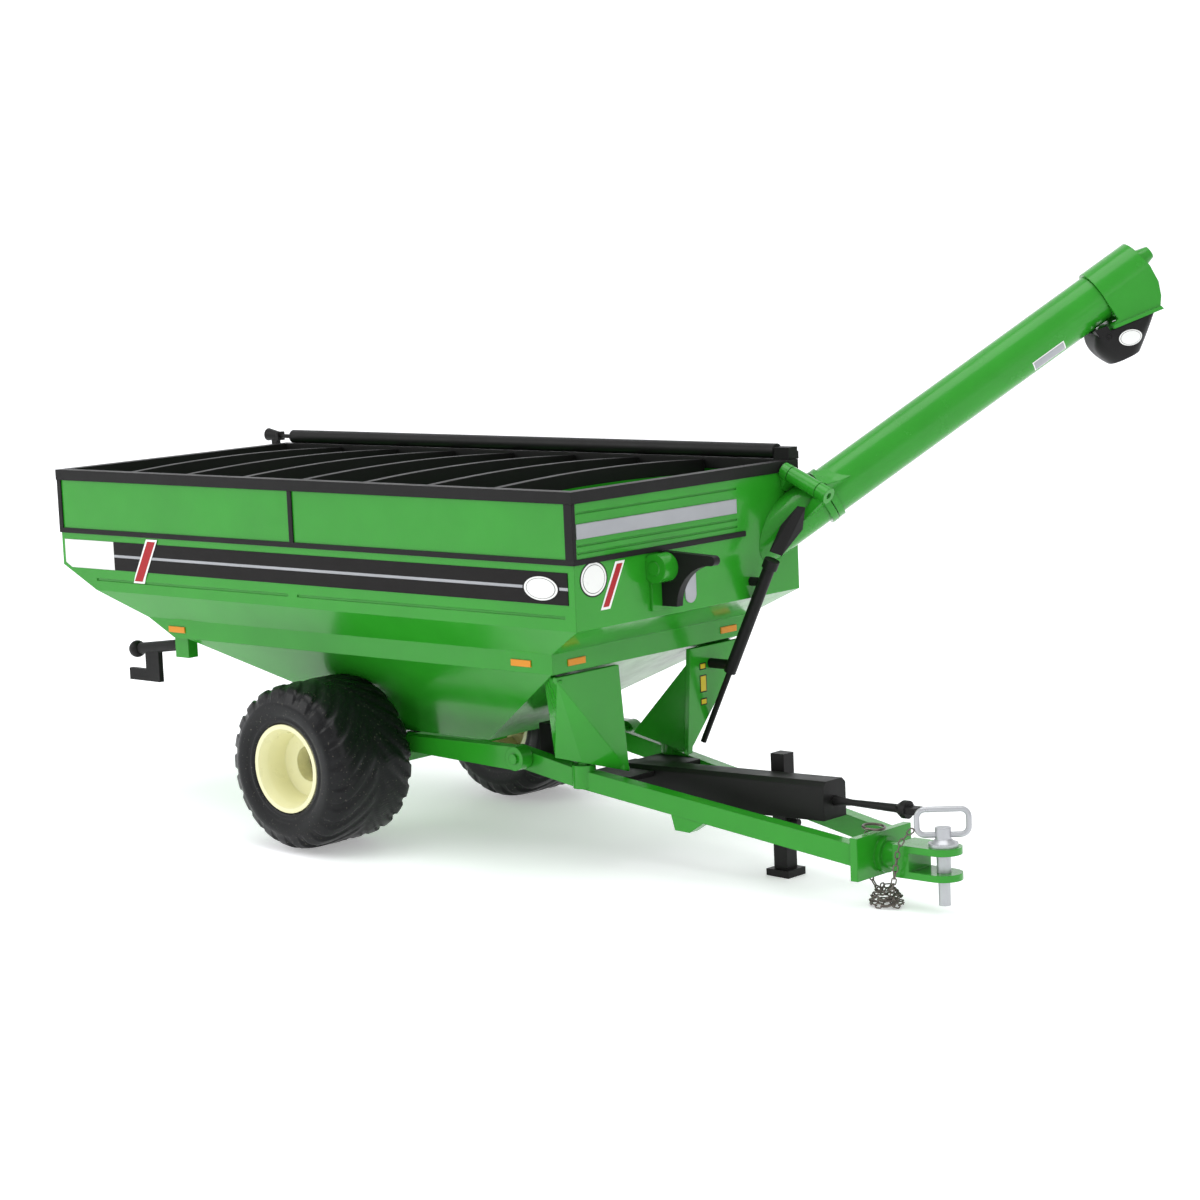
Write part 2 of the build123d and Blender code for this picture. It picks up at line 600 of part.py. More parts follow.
def pto():
    ring = []
    for x, z0, z1, z2, w in ((113.0, 8.7, 14.4, 15.0, 2.8), (157.0, 9.7, 15.2, 16.0, 2.95)):
        ring += [(x, -w, z0), (x, w, z0), (x, -w, z1), (x, w, z1)]
        ring += [(x, -w + 0.85, z2), (x, w - 0.85, z2)]
    cover = hull(ring) - rod((147.0, 0, PTO_Z), (158.0, 0, PTO_Z), 0.85)
    keep("pto_cover", cover)
    shaft = rod((147.4, 0, PTO_Z), (157.1, 0, PTO_Z), 0.80)
    shaft = shaft + taper((157.1, 0, PTO_Z), (160.5, 0, PTO_Z), 0.80, 0.52)
    shaft = shaft + taper((160.5, 0, PTO_Z), (169.4, 0, PTO_Z), 0.52, 0.70)
    shaft = shaft + taper((169.4, 0, PTO_Z), (170.6, 0, PTO_Z), 0.70, 1.45)
    shaft = shaft + rod((170.6, 0, PTO_Z), (171.6, 0, PTO_Z), 1.45)
    shaft = shaft + box(171.6, 173.4, -1.2, 1.2, PTO_Z - 0.5, PTO_Z + 0.5)
    keep("pto_shaft", shaft)


def ground_at(x):
    """Ground height under x, in the cart frame."""
    return AXLE_Z - TYRE_R / cos(radians(NOSE_UP)) - (x - AXLE_X) * tan(radians(NOSE_UP))


def jack():
    w = JACK_W / 2
    post = box(JACK_X - w, JACK_X + w, JACK_Y - w, JACK_Y + w, -2.0, 18.2)
    foot = box(JACK_X - 2.3, JACK_X + 2.3, JACK_Y - 2.3, JACK_Y + 2.3, -3.5, -1.1)
    x0, x1 = JACK_X - 6, JACK_X + 6
    below = hull([(x, y, z) for x in (x0, x1) for y in (0, 12)
                  for z in (-9, ground_at(x))])
    peg = rod((JACK_X + w, JACK_Y, 6.7), (JACK_X + w + 1.7, JACK_Y, 6.7), 0.65)
    keep("jack_post", post + foot - below + peg)
    s = w + RUN
    # open to the front, so that the stop peg can pass
    sleeve = box(JACK_X - 2.0, JACK_X + 1.25, 3.4, 7.2, 9.0, 13.6)
    sleeve = sleeve - box(JACK_X - s, JACK_X + s, JACK_Y - s, JACK_Y + s, 8, 15)
    sleeve = sleeve + box(JACK_X - 2.0, JACK_X + 1.25, 7.0, 7.6, 9.0, 12.6)
    keep("jack_sleeve", sleeve - mirrored(tongue_beam()))


# ----------------------------------------------------------------- hitch ----

def hitch():
    x0, x1 = PLATE_X, PLATE_X + 1.4
    plate = box(x0, x1, -7.2, 7.2, 1.8, 8.7)
    plate = plate + rod((x1, 0, 5.0), (x1 + 1.0, 0, 5.0), 2.9)
    plate = plate + rod((x1 + 1.0, 0, 5.0), (170.3, 0, 5.0), 2.2)
    keep("hitch_plate", plate)
    block = box(170.3, 173.4, -3.0, 3.0, 2.3, EAR_TOP)
    ears = []
    for z0, z1 in ((2.3, 3.4), (6.4, EAR_TOP)):
        ears.append(box(173.0, PIN_X, -3.0, 3.0, z0, z1))
        ears.append(rod((PIN_X, 0, z0), (PIN_X, 0, z1), 3.0))
    bore = rod((PIN_X, 0, 0), (PIN_X, 0, 9), PIN_R + RUN)
    keep("hitch_clevis", fused([block] + ears) - bore)
    pin = rod((PIN_X, 0, -1.86), (PIN_X, 0, 2.0), PIN_END_R)
    pin = pin + rod((PIN_X, 0, 2.0), (PIN_X, 0, EAR_TOP), PIN_R)
    pin = pin + rod((PIN_X, 0, EAR_TOP), (PIN_X, 0, 8.1), 2.35)
    pin = pin + taper((PIN_X, 0, 8.1), (PIN_X, 0, 8.7), 2.0, 1.3)
    pin = pin + rod((PIN_X, 0, 8.7), (PIN_X, 0, 10.5), 1.25)
    cross = BAIL_U
    hole = rod(bail_at(-3, 0), bail_at(3, 0), BAIL_R + RUN)
    keep("hitch_pin", pin - hole)
    keep("pin_bail", bail())
    ring = Solid.make_torus(1.75, 0.22, Plane(origin=(165.3, -0.9, 9.35), z_dir=(0.1, 0, 1)))
    keep("jump_ring", ring)


BAIL_U = Vector(0.784, 0.620, 0).normalized()
BAIL_Z = 9.35
BAIL_R = 0.45


def bail_at(u, h):
    return Vector(PIN_X, 0, BAIL_Z) + BAIL_U * u + Vector(0, 0, h)


def bail():
    w, h, r = 4.05, 4.05, 1.3
    corners = [bail_at(0.1, 0), bail_at(w, 0), bail_at(w, h), bail_at(-w, h), bail_at(-w, 0),
               bail_at(0, 0)]
    line = FilletPolyline(*corners, radius=r, close=False)
    plane = Plane(origin=corners[0], z_dir=BAIL_U)
    return sweep(plane * Circle(BAIL_R), path=line)


# -------------------------------------------------------------- chain ----
CHAIN_R = 0.5
DROP = [(174.4, -2.9, 10.3), (172.6, -4.1, 8.7), (171.8, -4.2, 4.4), (171.0, -3.9, 1.0),
        (168.9, -2.3, -1.2)]
RISE = [(166.9, -1.3, -1.0), (165.0, -1.1, 0.3), (163.9, -0.9, 2.8), (163.6, -0.9, 6.0),
        (163.8, -0.9, 8.4)]
HEAP_X, HEAP_Y = 167.8, -1.4


def route_radii(points):
    """Arc radius at each inner corner, from the shorter run beside it."""
    radii = []
    for a, b, c in zip(points, points[1:], points[2:]):
        u, v = Vector(*b) - Vector(*a), Vector(*c) - Vector(*b)
        turn = radians(u.get_angle(v))
        radii.append(0.45 * min(u.length, v.length) / tan(turn / 2))
    return radii


def chain_run(points, name):
    radii = route_radii(points)
    line = FilletPolyline(*[Vector(*p) for p in points], radius=radii, close=False)
    start = Plane(origin=line @ 0, z_dir=line % 0)
    tube = sweep(start * Circle(CHAIN_R), path=line)
    print(name, "radii", [round(r, 1) for r in radii], "length", round(line.length, 2),
          "volume ratio", round(tube.volume / (pi * CHAIN_R ** 2 * line.length), 3))
    return tube


def chain():
    g = ground_at(HEAP_X)
    pts = []
    for r, z in ((3.1, g + 0.15), (3.3, g + 0.9), (2.5, g + 2.4), (1.2, g + 3.5)):
        for i in range(12):
            a = 2 * pi * i / 12
            zz = z if z > g + 0.2 else ground_at(HEAP_X + r * cos(a)) + 0.02
            pts.append((HEAP_X + r * cos(a), HEAP_Y + 0.85 * r * sin(a), zz))
    pile = hull(pts)
    keep("chain_pile", pile)
    for name, points in (("chain_drop", DROP), ("chain_rise", RISE)):
        keep(name, (chain_run(points, name) - pile).solids().sort_by(SortBy.VOLUME)[-1])


# ------------------------------------------------------- rear lights ----

def rear_lights():
    cone = hopper_mass(0, 0)
    bracket = box(24.2, 27.8, -23.2, -21.0, 29.8, BAND_BASE) - cone
    bracket = bracket.solids().sort_by(SortBy.VOLUME)[-1]
    keep("light_brackets", Compound([bracket, mirrored(bracket)]))
    arm = rod((25.2, -22.0, 32.0), (12.2, -22.0, 30.4), 1.05)
    arm = arm + Pos(11.8, -22.0, 30.3) * Sphere(1.6)
    arm = arm + box(14.5, 18.3, -22.5, -21.5, 25.2, 30.8)
    arm = arm + box(9.7, 18.3, -22.5, -21.5, 24.5, 26.7)
    arm = arm - box(24.2, 40, -30, 0, 20, 40)
    keep("rear_light_arms", Compound([arm, mirrored(arm)]))


def build():
    keep("hopper_shell", hopper())
    keep("rim_rail", rail())
    for i in range(BOW_N):
        keep(f"bow_{i + 1}", bow(i))
    tarp()
    trims()
    stripes()
    front_trim()
    augers()
    fold_cylinder()
    wheels()
    frame()
    pto()
    jack()
    hitch()
    chain()
    rear_lights()


build()
os.makedirs("parts", exist_ok=True)
for old in os.listdir("parts"):
    if old.endswith(".step"):
        os.remove(os.path.join("parts", old))
low = [1e9] * 3
high = [-1e9] * 3
for name, part in PARTS.items():
    placed = stand(part)
    export_step(placed, f"parts/{name}.step")
    b = placed.bounding_box()
    if not name.startswith("chain"):
        low = [min(a, c) for a, c in zip(low, b.min)]
        high = [max(a, c) for a, c in zip(high, b.max)]
print(len(PARTS), "nodes; box", [round(v, 3) for v in low], [round(v, 3) for v in high])
print("centre", [round((a + c) / 2, 3) for a, c in zip(low, high)])
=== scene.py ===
import json
import math
import random

import bpy
from mathutils import Matrix, Vector
from mathutils.bvhtree import BVHTree


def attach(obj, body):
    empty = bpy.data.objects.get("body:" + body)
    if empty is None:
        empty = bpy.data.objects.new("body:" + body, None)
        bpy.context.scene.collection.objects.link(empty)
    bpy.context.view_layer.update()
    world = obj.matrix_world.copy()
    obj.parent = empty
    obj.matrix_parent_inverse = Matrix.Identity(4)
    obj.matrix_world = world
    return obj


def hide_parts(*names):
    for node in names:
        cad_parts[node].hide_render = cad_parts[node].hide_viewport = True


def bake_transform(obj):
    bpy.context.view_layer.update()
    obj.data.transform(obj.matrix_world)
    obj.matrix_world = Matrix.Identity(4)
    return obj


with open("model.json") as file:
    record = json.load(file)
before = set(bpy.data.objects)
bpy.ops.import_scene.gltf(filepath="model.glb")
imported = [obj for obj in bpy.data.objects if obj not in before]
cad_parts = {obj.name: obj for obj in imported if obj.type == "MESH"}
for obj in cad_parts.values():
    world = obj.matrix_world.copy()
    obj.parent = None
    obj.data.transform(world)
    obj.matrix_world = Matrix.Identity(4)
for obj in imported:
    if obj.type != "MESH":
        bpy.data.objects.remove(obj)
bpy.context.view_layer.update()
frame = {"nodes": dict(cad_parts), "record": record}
NODES = frame["nodes"]
MM = 0.001

# ---- the cart stands nose-up on its jack; pieces are drawn level and then tipped
TILT = math.radians(1.7)            # nose up, as it stands on its jack
AXLE = Vector((65.4, 0.0, 14.87))
SHIFT = Vector((87.91, 21.804, 0.0))
STAND = (Matrix.Translation((AXLE - SHIFT) * MM) @ Matrix.Rotation(-TILT, 4, "Y")
         @ Matrix.Translation(-AXLE * MM))


def at(x, y, z):
    """Point of the frame, in metres, from a point in millimetres on the level cart."""
    return STAND @ (Vector((x, y, z)) * MM)


def turn(x, y, z):
    """Direction in the frame, from a direction on the level cart."""
    return (STAND.to_3x3() @ Vector((x, y, z))).normalized()


# ------------------------------------------------------------- materials ----

def node(tree, kind, **values):
    n = tree.nodes.new(kind)
    for key, value in values.items():
        setattr(n, key, value)
    return n


def noise(tree, coords, scale, detail=4.0, rough=0.55):
    n = node(tree, "ShaderNodeTexNoise")
    n.inputs["Scale"].default_value = scale
    n.inputs["Detail"].default_value = detail
    n.inputs["Roughness"].default_value = rough
    tree.links.new(coords, n.inputs["Vector"])
    return n.outputs["Fac"]


def spread(tree, fac, low, high, a=0.3, b=0.7):
    m = node(tree, "ShaderNodeMapRange")
    m.inputs["From Min"].default_value = a
    m.inputs["From Max"].default_value = b
    m.inputs["To Min"].default_value = low
    m.inputs["To Max"].default_value = high
    tree.links.new(fac, m.inputs["Value"])
    return m.outputs["Result"]


def blend_colour(tree, fac, first, second):
    m = node(tree, "ShaderNodeMix", data_type="RGBA")
    tree.links.new(fac, m.inputs["Factor"])
    for value, socket in ((first, m.inputs[6]), (second, m.inputs[7])):
        if isinstance(value, tuple):
            socket.default_value = value
        else:
            tree.links.new(value, socket)
    return m.outputs[2]


def shade(colour, k):
    return tuple(min(1.0, c * k) for c in colour) + (1.0,)


def finish_material(name, colour, rough, metallic=0.0, coat=0.0, vary=0.06, rough_vary=0.05,
                    peel=0.02, peel_scale=700, grain=0.0, grain_scale=5000, edge=0.12,
                    edge_width=0.22, edge_colour=None, dust=0.0, dust_colour=(0.5, 0.48, 0.45),
                    specular=0.35, glow=0.0):
    """Painted, moulded or bare surface: mottled colour, uneven gloss, soft edges with a lighter
    line that is partly wear and partly a painted highlight.
    """
    mat = bpy.data.materials.new(name)
    mat.use_nodes = True
    tree = mat.node_tree
    shader = tree.nodes["Principled BSDF"]
    coords = node(tree, "ShaderNodeTexCoord").outputs["Object"]
    broad = noise(tree, coords, 90, 3.0)
    base = blend_colour(tree, spread(tree, broad, 0.0, 1.0), shade(colour, 1 - vary),
                        shade(colour, 1 + vary))
    # rounded edges, and a thin lighter line along them: partly rubbed wear, partly a painted
    # highlight
    bevel = node(tree, "ShaderNodeBevel", samples=3)
    bevel.inputs["Radius"].default_value = edge_width * MM
    face = node(tree, "ShaderNodeNewGeometry").outputs["Normal"]
    dot = node(tree, "ShaderNodeVectorMath", operation="DOT_PRODUCT")
    tree.links.new(bevel.outputs["Normal"], dot.inputs[0])
    tree.links.new(face, dot.inputs[1])
    rub_and_highlight = node(tree, "ShaderNodeMapRange")
    rub_and_highlight.inputs["From Min"].default_value = 0.99
    rub_and_highlight.inputs["From Max"].default_value = 0.80
    rub_and_highlight.inputs["To Min"].default_value = 0.0
    rub_and_highlight.inputs["To Max"].default_value = edge
    tree.links.new(dot.outputs["Value"], rub_and_highlight.inputs["Value"])
    patchy = node(tree, "ShaderNodeMath", operation="MULTIPLY")
    tree.links.new(rub_and_highlight.outputs["Result"], patchy.inputs[0])
    tree.links.new(spread(tree, noise(tree, coords, 900, 5.0), 0.2, 1.6), patchy.inputs[1])
    # lighter edge colour: worn paint, and a painted highlight where edges catch the light
    worn_and_lit = tuple(edge_colour) + (1.0,) if edge_colour else shade(colour, 2.2)
    base = blend_colour(tree, patchy.outputs["Value"], base, worn_and_lit)
    if dust:
        specks = spread(tree, noise(tree, coords, 2600, 2.0, 0.4), 0.0, dust, 0.66, 0.74)
        base = blend_colour(tree, specks, base, tuple(dust_colour) + (1.0,))
    tree.links.new(base, shader.inputs["Base Color"])
    gloss = spread(tree, noise(tree, coords, 260, 6.0), rough - rough_vary, rough + rough_vary)
    tree.links.new(gloss, shader.inputs["Roughness"])
    shader.inputs["Metallic"].default_value = metallic
    shader.inputs["Specular IOR Level"].default_value = specular
    shader.inputs["Emission Color"].default_value = (1.0, 1.0, 1.0, 1.0)
    shader.inputs["Emission Strength"].default_value = glow
    shader.inputs["Coat Weight"].default_value = coat
    shader.inputs["Coat Roughness"].default_value = 0.06
    height = noise(tree, coords, peel_scale, 2.0, 0.4)
    bump = node(tree, "ShaderNodeBump")
    bump.inputs["Distance"].default_value = peel * MM
    bump.inputs["Strength"].default_value = 0.6
    tree.links.new(height, bump.inputs["Height"])
    tree.links.new(bevel.outputs["Normal"], bump.inputs["Normal"])
    last = bump
    if grain:
        fine = node(tree, "ShaderNodeBump")
        fine.inputs["Distance"].default_value = grain * MM
        fine.inputs["Strength"].default_value = 0.7
        tree.links.new(noise(tree, coords, grain_scale, 3.0), fine.inputs["Height"])
        tree.links.new(bump.outputs["Normal"], fine.inputs["Normal"])
        last = fine
    tree.links.new(last.outputs["Normal"], shader.inputs["Normal"])
    if coat:
        tree.links.new(last.outputs["Normal"], shader.inputs["Coat Normal"])
    return mat


GREEN = (0.020, 0.262, 0.014)
GREEN_EDGE = (0.06, 0.40, 0.05)
BLACK_EDGE = (0.05, 0.05, 0.05)
LOOKS = {
    "green_paint": finish_material("green_enamel", GREEN, 0.20, coat=0.12, peel=0.020,
                                   specular=0.30, edge=0.10, edge_colour=GREEN_EDGE),
    "green_plastic": finish_material("green_enamel_on_plastic", GREEN, 0.24, coat=0.15,
                                     specular=0.30, peel=0.035, peel_scale=900, edge=0.10,
                                     edge_colour=GREEN_EDGE),
    "black_trim": finish_material("satin_black", (0.0080, 0.0078, 0.0078), 0.46, vary=0.12,
                                  peel=0.02, grain=0.010, edge=0.10, specular=0.18,
                                  edge_colour=BLACK_EDGE),
    "tarp_vinyl": finish_material("rolled_tarp_black", (0.008, 0.008, 0.008), 0.46, vary=0.12,
                                  peel=0.05, peel_scale=300, grain=0.012, edge=0.08, specular=0.2,
                                  edge_colour=BLACK_EDGE),
    "silver_print": finish_material("silver_print", (0.34, 0.35, 0.37), 0.36, metallic=0.35,
                                    vary=0.10, grain=0.010, grain_scale=7000, edge=0.05),
    "white_print": finish_material("white_print", (0.80, 0.81, 0.79), 0.30, coat=0.3,
                                   vary=0.02, edge=0.03),
    "amber_lens": finish_material("amber_print", (0.66, 0.25, 0.020), 0.34, coat=0.05,
                                  specular=0.2, vary=0.06, edge=0.05),
    "tyre_rubber": finish_material("moulded_tyre", (0.0052, 0.0054, 0.0062), 0.36, vary=0.12,
                                   rough_vary=0.10, peel=0.04, peel_scale=500, grain=0.012,
                                   edge=0.10, edge_width=0.12, edge_colour=(0.04, 0.04, 0.04),
                                   specular=0.22, dust=0.2, dust_colour=(0.30, 0.28, 0.22)),
    "cream_rim": finish_material("cream_moulding", (0.80, 0.78, 0.47), 0.30, coat=0.15,
                                 vary=0.03, peel=0.02, edge=0.05,
                                 edge_colour=(0.95, 0.92, 0.62)),
    "bright_metal": finish_material("bright_metal", (0.44, 0.45, 0.47), 0.34, metallic=0.5,
                                    vary=0.06, rough_vary=0.08, grain=0.010, edge=0.2,
                                    edge_colour=(0.75, 0.75, 0.77)),
    "dark_steel": finish_material("blackened_wire", (0.15, 0.13, 0.115), 0.32, metallic=0.85,
                                  vary=0.2, rough_vary=0.1, edge=0.2, edge_width=0.05,
                                  edge_colour=(0.5, 0.46, 0.4)),
}
RED = finish_material("red_print", (0.36, 0.012, 0.018), 0.36, coat=0.05, specular=0.2,
                      vary=0.04, edge=0.03)
YELLOW = finish_material("yellow_print", (0.58, 0.46, 0.02), 0.34, coat=0.05, specular=0.2,
                         vary=0.04, edge=0.03)
INK = finish_material("black_print", (0.010, 0.009, 0.009), 0.45, specular=0.12, edge=0.03)
HUB = finish_material("dull_brass", (0.07, 0.05, 0.03), 0.40, metallic=0.8, vary=0.2,
                      edge=0.1)

SLOT_OF = {s["node"]: s["material_slot"] for s in frame["record"]["subparts"]}
for name, obj in NODES.items():
    look = LOOKS[SLOT_OF[name]]
    if name == "axle_rod":
        look = HUB
    if name == "stripe_bands":
        look = INK
    obj.data.materials.clear()
    obj.data.materials.append(look)


# ------------------------------------------------------------ new pieces ----

def mesh_object(name, verts, faces, look):
    mesh = bpy.data.meshes.new(name)
    mesh.from_pydata([tuple(v) for v in verts], [], faces)
    mesh.validate()
    mesh.update()
    obj = bpy.data.objects.new(name, mesh)
    bpy.context.scene.collection.objects.link(obj)
    mesh.materials.append(look)
    mesh.shade_smooth()
    return obj


def step(edge0, edge1, x):
    """Smooth rise from 0 at the first edge to 1 at the second."""
    t = max(0.0, min(1.0, (x - edge0) / (edge1 - edge0)))
    return t * t * (3 - 2 * t)


TYRE_OUT = 35.5           # from the cart's middle plane
TYRE_IN = 16.8
TYRE_HALF = (TYRE_OUT - TYRE_IN) / 2
SECTION_STEP = 0.38       # about the length of the outline's pieces
LUG_COUNT = 22            # bars on each side of the tread
LUG_H = 0.42
LUG_LEAN = 0.62           # radians that a bar leans back towards the shoulder
STEPS_PER_LUG = 20


def tyre_outline():
    """(radius, distance from the tyre's middle plane, tread share) round one section."""
    half = TYRE_HALF
    side = [(7.75, half - 1.6, 0), (7.75, half - 0.95, 0), (8.0, half - 0.6, 0),
            (8.35, half - 0.42, 0), (8.7, half - 0.40, 0), (8.9, half - 0.50, 0),
            (9.4, half - 0.22, 0), (10.2, half - 0.06, 0), (11.0, half, 0),
            (11.6, half - 0.06, 0.0), (11.8, half - 0.22, 0.05), (12.4, half - 0.55, 0.45),
            (12.9, half - 0.95, 0.9), (13.35, half - 1.45, 1), (13.7, half - 2.1, 1),
            (13.95, half - 3.0, 1), (14.1, half - 4.0, 1), (14.2, half - 5.2, 1),
            (14.24, half - 6.6, 1), (14.25, half - 8.0, 1), (14.25, 0.55, 1),
            (14.25, 0.2, 1)]
    rows = []
    for (r0, w0, t0), (r1, w1, t1) in zip(side, side[1:]):
        parts = max(1, int(math.hypot(r1 - r0, w1 - w0) / SECTION_STEP))
        for i in range(parts):
            k = i / parts
            rows.append((r0 + (r1 - r0) * k, w0 + (w1 - w0) * k, t0 + (t1 - t0) * k))
    rows.append(side[-1])
    return rows + [(r, -w, t) for r, w, t in reversed(rows)]


def lug_height(angle, w, share):
    """Curved bars, those of one side between those of the other."""
    reach = abs(w) / TYRE_HALF
    lean = LUG_LEAN * math.sin(min(1.0, reach) * 1.35)
    period = 2 * math.pi / LUG_COUNT
    phase = (angle + lean + (period / 2 if w < 0 else 0)) / period
    off = abs((phase % 1.0) - 0.5) * 2
    width = 0.50 + 0.10 * reach
    bar = step(width + 0.12, width, 1 - off)
    return LUG_H * bar * share * (0.35 * step(0.0, 0.15, reach) + 0.65 * step(0.35, 0.85, reach))


def tyre(side):
    section = tyre_outline()
    around = LUG_COUNT * STEPS_PER_LUG
    verts, faces = [], []
    mid = -side * (TYRE_OUT + TYRE_IN) / 2
    count = len(section)
    for i in range(around):
        a = 2 * math.pi * i / around
        for r, w, share in section:
            h = lug_height(a, w, share)
            lateral = 0.35 * h * (1 if abs(w) > 6.5 else 0) * (1 if w > 0 else -1)
            rr = r + h
            y = mid - side * (w + lateral)
            verts.append(STAND @ (Vector((AXLE.x + rr * math.cos(a), y,
                                          AXLE.z + rr * math.sin(a))) * MM))
    for i in range(around):
        j = (i + 1) % around
        for k in range(count):
            m = (k + 1) % count
            quad = (i * count + k, i * count + m, j * count + m, j * count + k)
            faces.append(quad if side > 0 else quad[::-1])
    word = "right" if side > 0 else "left"
    obj = mesh_object(f"lugged_tyre_{word}", verts, faces, LOOKS["tyre_rubber"])
    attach(obj, f"wheel_{word}")
    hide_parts(f"tyre_{word}")


for which in (1, -1):
    tyre(which)


# ----------------------------------------------------------------- chain ----
LINK_LONG, LINK_WIDE, LINK_WIRE = 1.5, 0.96, 0.12      # wire: half its thickness
LINK_PITCH = 1.12
LINK_STEPS, WIRE_STEPS = 20, 8
DROP = [(174.4, -2.9, 10.3), (172.6, -4.1, 8.7), (171.8, -4.2, 4.4), (171.0, -3.9, 1.0),
        (168.9, -2.3, -1.2)]
RISE = [(166.9, -1.3, -1.0), (165.0, -1.1, 0.3), (163.9, -0.9, 2.8), (163.6, -0.9, 6.0),
        (163.8, -0.9, 8.4)]
HEAP_X, HEAP_Y = 167.8, -1.4


def heap():
    """Route of the chain inside the pile: five turns, the first two on the ground."""
    points = []
    # points in the turn, start in degrees, half length, half depth, height
    turns = ((13, -30, 2.75, 2.25, -2.45), (11, 0, 1.5, 1.3, -2.35), (12, 15, 2.4, 2.0, -1.45),
             (10, 25, 1.6, 1.4, -0.55), (7, 40, 0.8, 0.75, 0.15))
    for count, start, wide, deep, z in turns:
        for k in range(count):
            a = math.radians(start + 30 * k)
            points.append((HEAP_X + wide * math.cos(a), HEAP_Y + deep * math.sin(a),
                           z + 0.14 * math.sin(2.3 * a)))
    return points


def curve_of(points):
    """Quadratic NURBS line through the control points, clamped at its ends."""
    data = bpy.data.curves.new("chain_line", "CURVE")
    data.dimensions = "3D"
    line = data.splines.new("NURBS")
    line.points.add(len(points) - 1)
    for p, q in zip(line.points, points):
        p.co = (*at(*q), 1.0)
    line.order_u = 3
    line.use_endpoint_u = True
    line.resolution_u = 24
    return bpy.data.objects.new("chain_line", data)


def line_points(obj):
    """Points along the curve object's evaluated line."""
    mesh = bpy.data.meshes.new_from_object(obj)
    points = [v.co.copy() for v in mesh.vertices]
    bpy.data.meshes.remove(mesh)
    return points


def stations(points, pitch):
    """Points and directions evenly spaced along the line."""
    lengths = [0.0]
    for a, b in zip(points, points[1:]):
        lengths.append(lengths[-1] + (b - a).length)
    count = max(2, round(lengths[-1] / pitch))
    out = []
    k = 0
    for i in range(count):
        s = lengths[-1] * (i + 0.5) / count
        while k < len(lengths) - 2 and lengths[k + 1] < s:
            k += 1
        f = (s - lengths[k]) / max(1e-12, lengths[k + 1] - lengths[k])
        p = points[k].lerp(points[k + 1], f)
        out.append((p, (points[k + 1] - points[k]).normalized()))
    return out, lengths[-1]


def link(p, d, spin):
    """One welded link: an oval of wire, lying along d."""
    side = d.orthogonal().normalized()
    side = Matrix.Rotation(spin, 3, d) @ side
    up = d.cross(side)
    wire = LINK_WIRE
    r = LINK_WIDE / 2 - wire
    run = LINK_LONG / 2 - wire - r
    centre = []
    for i in range(LINK_STEPS):
        a = 2 * math.pi * i / LINK_STEPS
        shift = run if math.cos(a) >= 0 else -run
        centre.append((shift + r * math.cos(a), r * math.sin(a), math.cos(a), math.sin(a)))
    verts, faces = [], []
    for u, v, nu, nv in centre:
        for j in range(WIRE_STEPS):
            b = 2 * math.pi * j / WIRE_STEPS
            du, dv, dw = nu * math.cos(b) * wire, nv * math.cos(b) * wire, math.sin(b) * wire
            verts.append(p + (d * (u + du) + side * (v + dv) + up * dw) * MM)
    for i in range(LINK_STEPS):
        for j in range(WIRE_STEPS):
            m, n = (i + 1) % LINK_STEPS * WIRE_STEPS, (j + 1) % WIRE_STEPS
            here = i * WIRE_STEPS
            faces.append((here + j, m + j, m + n, here + n))
    return verts, faces


def chain():
    route = curve_of(DROP + heap() + RISE)
    points = line_points(route)
    places, length = stations(points, LINK_PITCH * MM)
    rng = random.Random(7)
    verts, faces = [], []
    for i, (p, d) in enumerate(places):
        v, f = link(p, d, (math.pi / 2 if i % 2 else 0) + rng.uniform(-0.3, 0.3) + 0.5)
        faces += [tuple(len(verts) + k for k in q) for q in f]
        verts += v
    obj = mesh_object("pin_chain", verts, faces, LOOKS["dark_steel"])
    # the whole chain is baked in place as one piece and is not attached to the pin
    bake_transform(obj)
    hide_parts("chain_drop", "chain_rise", "chain_pile")
    print("chain length mm", round(length / MM, 1), "links", len(places))


chain()


# ---------------------------------------------------------------- decals ----

def surface(name):
    """Search tree of a CAD piece's faces."""
    obj = NODES[name]
    mesh = obj.data
    world = [obj.matrix_world @ v.co for v in mesh.vertices]
    return BVHTree.FromPolygons(world, [tuple(p.vertices) for p in mesh.polygons])


def decal(name, body, outline, centre, right, up, on, look, slot, lift=0.03, rings=6):
    """Thin print of the given outline, laid on the surface of a CAD piece."""
    tree = surface(on)
    c = at(*centre)
    u, v = turn(*right), turn(*up)
    out = u.cross(v).normalized()
    grid = []
    for k in range(rings + 1):
        for x, y in outline:
            s = k / rings
            p = c + (u * x * s + v * y * s) * MM
            hit = tree.ray_cast(p + out * 12 * MM, -out)
            if hit[0]:
                away = 1 if hit[1].dot(out) > 0 else -1
                p = hit[0] + hit[1] * lift * MM * away
            grid.append(p)
    n = len(outline)
    faces = []
    for k in range(rings):
        for i in range(n):
            j = (i + 1) % n
            faces.append((k * n + i, k * n + j, (k + 1) * n + j, (k + 1) * n + i))
    obj = mesh_object(name, grid, faces, look)
    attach(obj, body)


def ellipse(w, h, n=40):
    return [(w / 2 * math.cos(2 * math.pi * i / n), h / 2 * math.sin(2 * math.pi * i / n))
            for i in range(n)]


def slab(w, h, lean=0.0, n=6):
    """Rectangle outline w by h, its top pushed sideways by lean."""
    corners = [(-w / 2 - lean, -h / 2), (w / 2 - lean, -h / 2), (w / 2 + lean, h / 2),
               (-w / 2 + lean, h / 2)]
    out = []
    for (x0, y0), (x1, y1) in zip(corners, corners[1:] + corners[:1]):
        out += [(x0 + (x1 - x0) * i / n, y0 + (y1 - y0) * i / n) for i in range(n)]
    return out


SIDE = ((1, 0, 0), (0, 0, 1))
LEFT = ((-1, 0, 0), (0, 0, 1))
FRONT = ((0, 1, 0), (0, 0, 1))
WHITE = LOOKS["white_print"]


